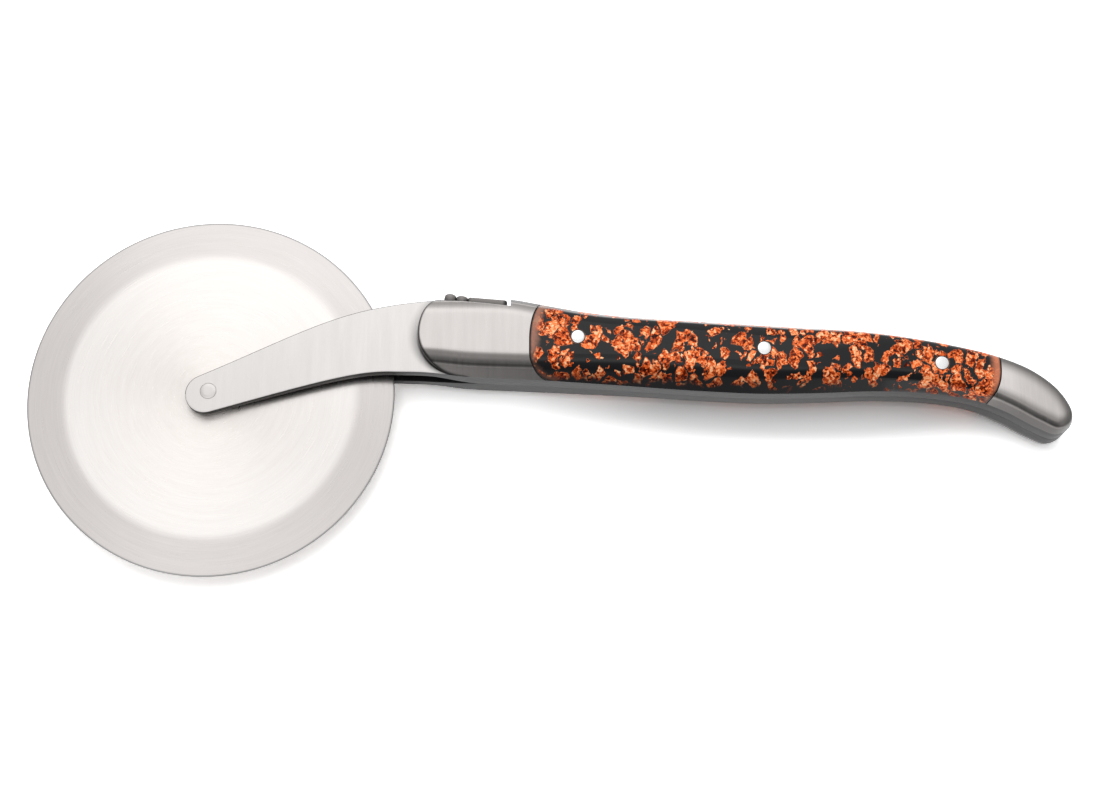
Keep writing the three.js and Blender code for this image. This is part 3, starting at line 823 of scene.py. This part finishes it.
def resin_material():
    """Black gloss resin with shards of crumpled copper leaf in it, and a brown haze at both ends.

    Its attributes are millimetres: end_distance from the nearest joint and facet below the belly's ridge.
    """
    material, tree, shader = material_of("copper_leaf_resin")
    where = own_place(tree)
    x, y, _ = apart(tree, where)
    flake, colour = resin_flakes(tree, where, x)
    leaf = crumple_shade(tree, where, colour)
    facet = attribute(tree, "facet")
    fade = maths(tree, "MULTIPLY_ADD", noise(tree, where, (450, 450, 450), 2.0, 0.5), 3.0, facet)
    flake = times(tree, flake, remap(tree, fade, 2.5, 3.5, 1.0, 0.004, "SMOOTHSTEP"))
    # The copper darkens down the belly's facet: painted shade.
    copper = toned(tree, ramp(tree, leaf, COPPER), remap(tree, facet, -0.2, 1.2, 1.0, 0.4))
    end = attribute(tree, "end_distance")
    haze, brown = end_haze(tree, where, x, y, end)
    colour = mixed(tree, flake, BLACK_RESIN, copper)
    colour = mixed(tree, haze, colour, brown)
    colour = mixed(tree, remap(tree, end, 0.1, 0.4, 1.0, 0.0), colour, RESIN_SEAM)
    foil = times(tree, flake, remap(tree, haze, 0.0, HAZE_FULL, 1.0, 0.0))
    height = times(tree, leaf, foil)
    raised = add(tree, "Bump", {"Height": height, "Strength": 0.2, "Distance": 0.0003})
    feed(tree, shader, {
        "Base Color": colour,
        "Metallic": times(tree, foil, 0.4),
        "Roughness": remap(tree, foil, 0.0, 1.0, 0.5, 0.32),
        "Normal": raised.outputs["Normal"],
        "Specular IOR Level": 0.0,
        "Coat Weight": remap(tree, foil, 0.0, 1.0, 1.0, 0.4),
        "Coat Roughness": 0.03,
        "Coat IOR": 1.4,
    })
    return material


turned_steel = wheel_steel_material()
resin = resin_material()


# Bolsters and scales.


def strip_lines(side):
    return [inset_line(side, facet, shoulder) for facet, shoulder in STRIP]


def spaced(low, high, count):
    """Evenly spaced numbers between two numbers, without them."""
    return np.linspace(low, high, count + 2)[1:-1]


def between(low, high, count):
    """Evenly spaced lines between two lines, without them."""
    return [lambda x, t=t: low(x) + (high(x) - low(x)) * t for t in spaced(0, 1, count)]


def slant(edge, y, step=0.01, most=3.0):
    """How much longer a distance from a curved edge is along x."""
    slope = (edge_x(edge, y + step) - edge_x(edge, y - step)) / (2 * step)
    return min(float(np.hypot(1, slope)), most)


def rows_from(line, edge, way, rows):
    """Stations along a line at distances from a curved edge, one way or the other."""
    x = crossing(line, edge)
    return x + way * np.array(rows) * slant(edge, line(x))


def plan_grid(lines, stations):
    """Plan points for each line at its own x stations: rows run across, columns along."""
    xs = np.array(stations)
    ys = np.array([line(x) for line, x in zip(lines, xs)])
    return np.stack([xs.T, ys.T], 2)


def side_shell(plan, height, faces):
    """A side of the handle, walled down to just over the fork and closed there."""
    count = len(plan)
    foot = outer_height(plan[:, 0]) + FOOT_LIFT
    heights = np.concatenate([np.maximum(height, foot + FOOT_LIFT), foot])
    edges = {(a, b) for face in faces for a, b in zip(face, face[1:] + face[:1])}
    walls = [(b, a, a + count, b + count) for a, b in sorted(edges) if (b, a) not in edges]
    floor = [tuple(i + count for i in reversed(face)) for face in faces]
    return np.column_stack([np.vstack([plan, plan]), heights]), faces + floor + walls


GAP_ROWS = JOINT_GAP + np.array(JOINT_ROWS)


def front_bolster():
    """The front bolster, from the belly to the shelf, and behind the step up to the back."""
    belly, back = strip_lines("belly"), strip_lines("back")
    lines = [*belly, *between(belly[-1], back[-1], LAND_LINES), back[-1]]
    lines += [*between(back[-1], shelf_line, SHELF_LINES), shelf_line]
    main = len(lines)
    lines += [*between(shelf_line, back[0], LAND_LINES), back[0]]
    stations = []
    for line in lines:
        lead = rows_from(line, NOSE, 1, NOSE_ROWS)
        step = STEP + np.array(STEP_ROWS)
        end = rows_from(line, FRONT_JOINT, -1, GAP_ROWS[::-1])
        to_step = spaced(lead[-1], STEP, BOLSTER_ROWS)
        to_end = spaced(step[-1], end[0], STEP_TO_JOINT_ROWS)
        stations.append(np.concatenate([lead, to_step, step, to_end, end]))
    grid = plan_grid(lines, stations)
    keep = np.ones(grid.shape[:2], bool)
    keep[: len(NOSE_ROWS) + BOLSTER_ROWS, main:] = False
    index = np.full(keep.shape, -1)
    index[keep] = np.arange(keep.sum())
    plan = grid[keep]
    ahead = np.maximum(edge_distance(plan, NOSE), 0)
    corners = [(0, shelf_line(0)), (STEP, shelf_line(STEP)), (STEP, shelf_line(0))]
    height = crown_height(plan) - rounded(ahead, NOSE_ROUND)
    height -= rounded(-edge_distance(plan, FRONT_JOINT) - JOINT_GAP, JOINT_ROUND)
    height -= rounded(polyline_distance(plan, corners), SHELF_ROUND)
    # Painted shade: the facet tone, and darker still on the nose's rounding.
    tone = facet_tone(plan) * (NOSE_TONE + (1 - NOSE_TONE) * smooth(ahead, *NOSE_TONE_REACH))
    return *side_shell(plan, height, grid_faces(index)), {"tone": np.tile(tone, 2)}


# Keeps the facet attribute of the resin far below zero on the back side, where the flakes don't fade.
BACK_OFFSET = 9


def scale_side():
    """A resin scale between the two joints."""
    belly, back = strip_lines("belly"), strip_lines("back")
    lines = [*belly, *between(belly[-1], back[-1], LAND_LINES), *back[::-1]]
    stations = []
    for line in lines:
        lead = rows_from(line, FRONT_JOINT, 1, GAP_ROWS)
        end = rows_from(line, REAR_JOINT, -1, GAP_ROWS[::-1])
        stations.append(np.concatenate([lead, spaced(lead[-1], end[0], SCALE_ROWS), end]))
    grid = plan_grid(lines, stations)
    index = np.arange(grid.shape[0] * grid.shape[1]).reshape(grid.shape[:2])
    plan = grid.reshape(-1, 2)
    end = np.minimum(edge_distance(plan, FRONT_JOINT), edge_distance(plan, REAR_JOINT)) - JOINT_GAP
    height = crown_height(plan) - rounded(end, JOINT_ROUND)
    inset, lean, _, _, backness = nearest_edge(plan)
    facet = lean - inset - BACK_OFFSET * backness
    values = {"end_distance": np.tile(end, 2), "facet": np.tile(facet, 2)}
    return *side_shell(plan, height, grid_faces(index)), values


def tail_rings():
    """Plan lines round the tail, from the joint on the back to the belly's."""
    places = np.arange(len(EDGE))
    ends = np.array(JOINT_ROWS) / TAIL_STRIP
    steps = np.concatenate([ends, spaced(ends[-1], 1 - ends[-1], TAIL_ROWS), 1 - ends[::-1]])
    rings = []
    for facet, shoulder in STRIP:
        line = EDGE + INWARD * (facet * LEAN + shoulder * WIDTH)[:, None]
        clear = -edge_distance(line, REAR_JOINT) - JOINT_GAP
        tail = (clear > 0) & (EDGE[:, 0] > TAIL - 2 * REAR_LENGTH)
        first, last = places[tail][0], places[tail][-1]
        start = first - clear[first] / (clear[first] - clear[first - 1])
        stop = last + clear[last] / (clear[last] - clear[last + 1])
        at = start + (stop - start) * steps
        rings.append(np.stack([np.interp(at, places, line[:, 0]), np.interp(at, places, line[:, 1])], 1))
    return np.array(rings)


def rear_bolster():
    """The rear bolster: rings round the tail, and a land in rows from back to belly."""
    rings = tail_rings()
    count = rings.shape[1]
    index = np.arange(rings.shape[0] * count).reshape(rings.shape[:2])
    faces = grid_faces(index)
    plan = list(rings.reshape(-1, 2))
    inner, half = rings[-1], count // 2
    rows = []
    for i in range(half):
        a, b = inner[i], inner[count - 1 - i]
        fade = max(0.0, 1 - i / TAIL_BOW_ROWS)
        row = [index[-1, i]]
        for t in spaced(0, 1, TAIL_LAND_LINES):
            p = a + (b - a) * t
            straight = edge_x(REAR_JOINT, a[1]) * (1 - t) + edge_x(REAR_JOINT, b[1]) * t
            row.append(len(plan))
            plan.append(p + (fade * (edge_x(REAR_JOINT, p[1]) - straight), 0))
        rows.append(row + [index[-1, count - 1 - i]])
    faces += grid_faces(np.array(rows)[:, ::-1])
    tip = int(index[-1, half])
    faces += [(int(a), int(b), tip) for a, b in zip(rows[-1], rows[-1][1:])]
    plan = np.array(plan)
    clear = np.maximum(-edge_distance(plan, REAR_JOINT) - JOINT_GAP, 0)
    height = crown_height(plan) - rounded(clear, JOINT_ROUND)
    return *side_shell(plan, height, faces), {"tone": np.tile(facet_tone(plan), 2)}


PIN_BORE_FOOT = 2.0
handle_sides = [
    ("bolster_front", "front_bolster", front_bolster(), bolster_steel, "bolster_steel", {}),
    ("bolster_rear", "rear_bolster", rear_bolster(), bolster_steel, "bolster_steel", {}),
    ("resin_scale", "scale", scale_side(), resin, "scale_resin", PINS),
]
for side, turn in HALVES.items():
    pin_bore = bore(PIN_BORE, PIN_BORE_FOOT, LAND, PIN_BORE_CHAMFER, turn)
    for name, node, (points, faces, values), material, slot, pins in handle_sides:
        holes = [(centre, pin_bore) for centre in pins.values()]
        build(f"{name}_{side}", points, faces, [material], [f"{node}_{side}"], turn=turn, values=values,
              holes=holes)


# Fork halves.


def fork_plan():
    """Side view of a fork half, clockwise from the step on the back."""
    back, belly, root = (math.radians(ARM_ANGLES[key]) for key in ("back", "belly", "root"))
    tip_pull, back_pull, belly_pull = (ARM_PULLS[key] * FRONT for key in ("tip", "back", "belly"))
    edge = EDGE[2 * OUTLINE_STEPS :: 4]
    turn = np.linspace(belly - math.pi / 2, back - 1.5 * math.pi, ROUND_STEPS)
    tip = (-TIP_LEAD, -TIP_DROP) + TIP_RADIUS * np.stack([np.cos(turn), np.sin(turn)], 1)
    ahead = tip[0] + tip_pull * np.array([math.cos(belly), math.sin(belly)])
    under = bezier(edge[-1], edge[-1] - (belly_pull, 0), ahead, tip[0])
    ahead = tip[-1] + tip_pull * np.array([math.cos(back), math.sin(back)])
    rise = (SHELF_X - back_pull, SHELF_Y - math.tan(root) * back_pull)
    over = bezier(tip[-1], ahead, rise, (SHELF_X, SHELF_Y))
    shelf = np.linspace(SHELF_X, STEP, SHELF_STEPS)[1:]
    return np.vstack([edge, under[1:], tip[1:], over[1:], np.stack([shelf, shelf_line(shelf)], 1)])


def inset_plan(plan, inset):
    """A closed plan drawn in by a distance at each of its points."""
    before, after = plan - np.roll(plan, 1, 0), np.roll(plan, -1, 0) - plan
    before /= np.linalg.norm(before, axis=1)[:, None]
    after /= np.linalg.norm(after, axis=1)[:, None]
    along = before + after
    along /= np.linalg.norm(along, axis=1)[:, None]
    inward = np.stack([along[:, 1], -along[:, 0]], 1)
    spread = np.clip((along * after).sum(1), 0.5, 1)
    return plan + inward * (inset / spread)[:, None]


def fork_half():
    """A fork half with its edges rounded, less along the tang and the seam than on the arm."""
    plan = fork_plan()
    slot = SLOT_ROUND + (SEAM_ROUND - SLOT_ROUND) * smooth(plan[:, 0] - SLOT_POINT, -SEAM_BLEND, SEAM_BLEND)
    rim = RIM_ROUND + (TANG_ROUND - RIM_ROUND) * smooth(plan[:, 0], FRONT, FRONT + TANG_BLEND)
    rings = [(slot * FLAT_MARGIN["slot"], inner_height, 0.0), (slot, inner_height, 0.0)]
    for turn in np.radians((60, 30, 0)):
        rings.append((slot * (1 - math.cos(turn)), inner_height, slot * (1 - math.sin(turn))))
    for turn in np.radians((0, 22, 45, 68, 90)):
        rings.append((rim * (1 - math.cos(turn)), outer_height, -rim * (1 - math.sin(turn))))
    rings.append((rim * FLAT_MARGIN["rim"], outer_height, 0.0))
    points = []
    for inset, height, lift in rings:
        ring = inset_plan(plan, inset)
        points.append(np.column_stack([ring, height(ring[:, 0]) + lift]))
    return np.vstack(points), tube_faces(len(rings), len(plan))


# Upward share of its normal under which a face is a wall; more on the back, so that its rounded edge takes
# the walls' near-black material as a painted shade line.
WALL_LIMIT = 0.75
BACK_WALL_LIMIT = 0.9


def split_folds(piece):
    """Splits the flat faces where they fold, and gives the walls and the slot their materials."""
    work = bmesh.new()
    work.from_mesh(piece.data)
    for x in FORK_FOLDS:
        geometry = [*work.verts, *work.edges, *work.faces]
        fold = Vector(place((x, 0, 0)))
        bmesh.ops.bisect_plane(work, geom=geometry, dist=1e-8, plane_co=fold, plane_no=(1, 0, 0))
    work.normal_update()
    for face in work.faces:
        outward = face.normal.z * (face.calc_center_median().z - AXLE[2])
        limit = BACK_WALL_LIMIT if face.normal.y > 0 else WALL_LIMIT
        face.material_index = 1 if abs(face.normal.z) < limit else 2 if outward < 0 else 0
    work.to_mesh(piece.data)
    work.free()


AXLE_BORE_FOOT = 1.0
fork_points, fork_faces = fork_half()
for side, turn in HALVES.items():
    fork = build(f"fork_{side}", fork_points, fork_faces, [arm_face, arm_side, slot_steel],
                 [f"fork_half_{side}"], turn=turn)
    split_folds(fork)
    drill(fork, (0, 0), bore(AXLE_BORE, AXLE_BORE_FOOT, TIP_HALF, AXLE_BORE_CHAMFER, turn))
    shade(fork, SHARP)


# Wheel, rivet, washers and pins.


def doubled(profile):
    """A profile above the middle and its mirror image below."""
    return [*profile, *[(r, -z) for r, z in reversed(profile)]]


def turned_piece(name, profile, segments, material, node, body="handle", centre=(0, 0)):
    points, faces = lathe(profile, segments)
    build(name, points + (*centre, 0), faces, [material], [node], body, centre=centre)


BORE_CHAMFER = 0.1
BEVEL_ROUND = 0.5
MIDDLE_RINGS = (4, 7, 11, 15, 19, 23, 26, 28, BEVEL_START - BEVEL_ROUND)
BEVEL_RINGS = (31, 33, 35, 36.4, 36.8)


def wheel_profile():
    """Half of the wheel's section: bore, flat middle, bevel and blunt edge."""
    slope = (WHEEL_HALF - EDGE_HALF) / (WHEEL_RADIUS - BEVEL_START)
    profile = [(BORE_RADIUS, WHEEL_HALF - BORE_CHAMFER), (BORE_RADIUS + BORE_CHAMFER, WHEEL_HALF)]
    profile += [(r, WHEEL_HALF) for r in MIDDLE_RINGS]
    profile.append((BEVEL_START, WHEEL_HALF - BEVEL_ROUND * slope / 4))
    profile.append((BEVEL_START + BEVEL_ROUND, WHEEL_HALF - BEVEL_ROUND * slope))
    profile += [(r, WHEEL_HALF - (r - BEVEL_START) * slope) for r in BEVEL_RINGS]
    return profile + [(WHEEL_RADIUS - 0.06, EDGE_HALF - 0.02), (WHEEL_RADIUS, EDGE_HALF - 0.09)]


RIVET_PROUD = 0.015


def rivet_profile():
    """Half of the rivet's section: nearly flush, with a soft edge."""
    top = TIP_HALF + RIVET_PROUD
    face = [(0, top), (0.8, top), (AXLE_RADIUS - 0.08, top - 0.008)]
    return face + [(AXLE_RADIUS - 0.02, TIP_HALF - 0.02), (AXLE_RADIUS, TIP_HALF - 0.1)]


WASHER_CHAMFER = 0.12


def washer_profile(turn):
    """A washer's section, with its four corners chamfered."""
    low, high = sorted((turn * WASHER_FOOT, turn * WASHER_TOP))
    inner, outer, cut = BORE_RADIUS, WASHER_RADIUS, WASHER_CHAMFER
    foot = [(inner, low + cut), (inner + cut, low), (outer - cut, low), (outer, low + cut)]
    return foot + [(outer, high - cut), (outer - cut, high), (inner + cut, high), (inner, high - cut)]


# A pin's shallow dome: radius and height over the land, then how far in from its edge and below the land.
PIN_DOME = ((0, 0.05), (0.5, 0.045), (0.9, 0.03), (1.2, 0.005))
PIN_EDGE = ((0.05, 0.02), (0, 0.08))


def pin_profile():
    dome = [(r, LAND + rise) for r, rise in PIN_DOME]
    return dome + [(PIN_RADIUS - gap, LAND - drop) for gap, drop in PIN_EDGE]


turned_piece("wheel_disc", doubled(wheel_profile()), 256, turned_steel, "cutting_wheel",
             "wheel")
turned_piece("rivet", doubled(rivet_profile()), 64, rivet_steel, "axle_rivet")
for side, turn in HALVES.items():
    turned_piece(f"spacer_{side}", washer_profile(turn), 96, washer_steel, f"washer_{side}")
for key, centre in PINS.items():
    node = f"handle_pin_{key}"
    turned_piece(f"pin_{key}", doubled(pin_profile()), 64, pin_steel, node, centre=centre)


# Fly plate.


def fly_bump(u, start, foot, top):
    """A half ellipse from foot to top over one lump."""
    t = np.clip((u - start - FLY_LUMP / 2) / (FLY_LUMP / 2), -1, 1)
    return foot + (top - foot) * math.sqrt(1 - t * t)


def fly_section(u):
    """Height, half width, edge rounding and painted-shade tone of the fly plate at a place along it."""
    on_wedge = u - FLY_WEDGE_START
    if on_wedge <= 0:
        lump = 0 if u <= FLY_LUMP else 1
        tall, wide, tone = (fly_bump(u, lump * FLY_LUMP, *ends) for ends in zip(FLY_DIP, FLY_LUMPS[lump]))
        return tall, wide, FLY_LUMP_ROUND, tone
    thin, thick = FLY_WEDGE_HEIGHTS
    bright, dark = FLY_WEDGE_TONES
    top = thin + (thick - thin) * on_wedge / (FLY_LENGTH - FLY_WEDGE_START)
    past = min(max(u - FLY_ROUND_START, 0), FLY_END_ROUND)
    tall = top - FLY_END_ROUND + math.sqrt(FLY_END_ROUND**2 - past**2)
    tall = min(tall, FLY_DIP[0] + 2 * on_wedge)
    wide = min(FLY_HALF_WIDTH, FLY_WEDGE_NECK + 4 * on_wedge)
    tone = bright + (dark - bright) * smooth(u, FLY_ROUND_START - 0.4, FLY_ROUND_START + 0.3)
    return tall, wide, FLY_WEDGE_ROUND, tone


def fly_plate():
    """A plain wedge with two rounded lumps at its head, laid along the shelf."""
    lumps = [np.linspace(0, FLY_LUMP, 17), np.linspace(FLY_LUMP, FLY_WEDGE_START, 17)[1:]]
    wedge = np.linspace(FLY_WEDGE_START + 0.05, FLY_ROUND_START, 20)
    end_round = FLY_ROUND_START + FLY_END_ROUND * np.sin(np.linspace(0.1, 1, 8) * math.pi / 2)
    stations = np.concatenate([*lumps, wedge, end_round])
    bend = np.linspace(0, math.pi / 2, 7)
    sections, tones = [], []
    for u in stations:
        tall, wide, edge, tone = fly_section(u)
        z = np.concatenate([[wide, wide], wide - edge * (1 - np.cos(bend))])
        v = np.concatenate([[0, FLY_WALL], tall - edge * (1 - np.sin(bend))])
        z, v = np.concatenate([z, -z[::-1]]), np.concatenate([v, v[::-1]])
        sections.append(np.stack([np.full_like(z, u), v, z], 1))
        # Painted shade: darker low on the walls, next to the shelf.
        tones.append(tone * (FLY_WALL_TONE + (1 - FLY_WALL_TONE) * smooth(v / tall, 0.1, 0.5)))
    local = np.array(sections)
    tilt = -math.atan(SHELF_FALL)
    end = STEP - FLY_END_GAP
    along, up = local[..., 0] - FLY_LENGTH, local[..., 1] + JOINT_GAP
    x = end + along * math.cos(tilt) - up * math.sin(tilt)
    y = float(shelf_line(end)) + along * math.sin(tilt) + up * math.cos(tilt)
    points = np.stack([x, y, local[..., 2]], 2)
    return points.reshape(-1, 3), tube_faces(*points.shape[:2]), {"tone": np.concatenate(tones)}


fly_points, fly_faces, fly_values = fly_plate()
build("fly_plate_relief", fly_points, fly_faces, [bolster_steel], ["fly_plate"],
      sharp=FLY_SHARP, values=fly_values)

# Hidden pieces keep their solids and get the washers' finish.
for name in ("axle_bush", "front_dowel_back", "front_dowel_belly", "rear_dowel"):
    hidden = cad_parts[name]
    hidden.data.materials.clear()
    hidden.data.materials.append(washer_steel)


# Stage, light and camera, in metres. The floor is pale to other surfaces and white where it is seen. To the
# camera a painted shadow darkens it within a flat reach under the handle, and beyond it is seen brighter,
# washing out shadows.
FLOOR_HALF = 4.0
FLOOR_PALE = 0.9
FLOOR_SEEN = 1.25
SHADE_MIDDLE = (0.052, -0.0105, 0)
SHADE_FLATNESS = 7
SHADE_REACH = (0.025, 0.066)
SHADE_TONES = (0.64, 1.24)


def floor_material():
    """Pale, seen as white where no shadow falls, with a painted shadow under the handle."""
    material, tree, shader = material_of("pale_floor")
    path = add(tree, "LightPath").outputs
    seen = maths(tree, "MAXIMUM", path["Is Camera Ray"], path["Is Glossy Ray"])
    seen = maths(tree, "MAXIMUM", seen, path["Is Transmission Ray"])
    level = remap(tree, seen, 0.0, 1.0, FLOOR_PALE, FLOOR_SEEN)
    where = add(tree, "NewGeometry").outputs["Position"]
    flat = add(tree, "Mapping", {"Vector": where, "Scale": (1, SHADE_FLATNESS, 1)}).outputs["Vector"]
    away = vector_maths(tree, "DISTANCE", flat, SHADE_MIDDLE, output="Value")
    tone = remap(tree, away, *SHADE_REACH, *SHADE_TONES, "SMOOTHSTEP")
    level = times(tree, level, remap(tree, path["Is Camera Ray"], 0.0, 1.0, 1.0, tone))
    feed(tree, shader, {"Base Color": grey(tree, level), "Roughness": 1.0, "Specular IOR Level": 0.0})
    return material


corners = [(x * FLOOR_HALF, y * FLOOR_HALF, 0) for x, y in ((-1, -1), (1, -1), (1, 1), (-1, 1))]
floor = mesh_object("floor", corners, [(0, 1, 2, 3)])
floor.data.materials.append(floor_material())


def softbox(name, at, size, power):
    """A square lamp that is aimed at the origin."""
    data = bpy.data.lights.new(name, "AREA")
    data.shape = "RECTANGLE"
    data.size = data.size_y = size
    data.energy = power
    lamp = put(name, data)
    lamp.location = at
    lamp.rotation_euler = (-Vector(at)).to_track_quat("-Z", "Y").to_euler()
    return lamp


# The overhead lamp has no reflection of its own; the strip behind it draws the sheen on the steel.
overhead = softbox("overhead", (-0.03, 0.14, 0.79), 0.42, 2.6)
overhead.visible_glossy = False
softbox("strip", (-0.085, 0.42, 0.68), 0.5, 0.34)

# Darker and brighter parts of the studio: the way from +X, the height of the middle, the full reach and the
# reach where it ends, in degrees, and the share of the light.
WORLD_LEVEL = 0.92
STUDIO_WAYS = (
    (270, 40, 18, 36, 0.26),
    (0, 40, 14, 44, 0.66),
    (176, 40, 14, 44, 0.76),
    (245, 66, 8, 26, 1.45),
)


def studio_world():
    world = bpy.data.worlds.new("studio")
    world.use_nodes = True
    tree = world.node_tree
    tree.nodes.clear()
    aim = add(tree, "TexCoord").outputs["Generated"]
    level = WORLD_LEVEL
    for azimuth, height, full, end, share in STUDIO_WAYS:
        high, turn = math.radians(height), math.radians(azimuth)
        way = (math.cos(turn) * math.cos(high), math.sin(turn) * math.cos(high), math.sin(high))
        toward = vector_maths(tree, "DOT_PRODUCT", aim, way, output="Value")
        reach = [math.cos(math.radians(angle)) for angle in (end, full)]
        level = times(tree, level, remap(tree, toward, *reach, 1.0, share, "SMOOTHSTEP"))
    sky = add(tree, "Background", {"Color": (1, 1, 1, 1), "Strength": level})
    add(tree, "OutputWorld", {"Surface": sky.outputs[0]})
    return world


# The camera that the wheel's ellipse in the photo gives, and its lean from straight down.
CAMERA_PLACE = (0.000689, -0.106256, 0.379186)
CAMERA_LEAN = math.radians(15.823)
camera_data = bpy.data.cameras.new("camera")
camera_data.lens = 62.77
camera_data.sensor_width = 36
camera_data.clip_start = 0.01
camera = put("camera", camera_data)
camera.location = CAMERA_PLACE
camera.rotation_euler = (CAMERA_LEAN, 0, 0)
scene = bpy.context.scene
scene.camera = camera
scene.world = studio_world()
scene.view_settings.view_transform = "Standard"
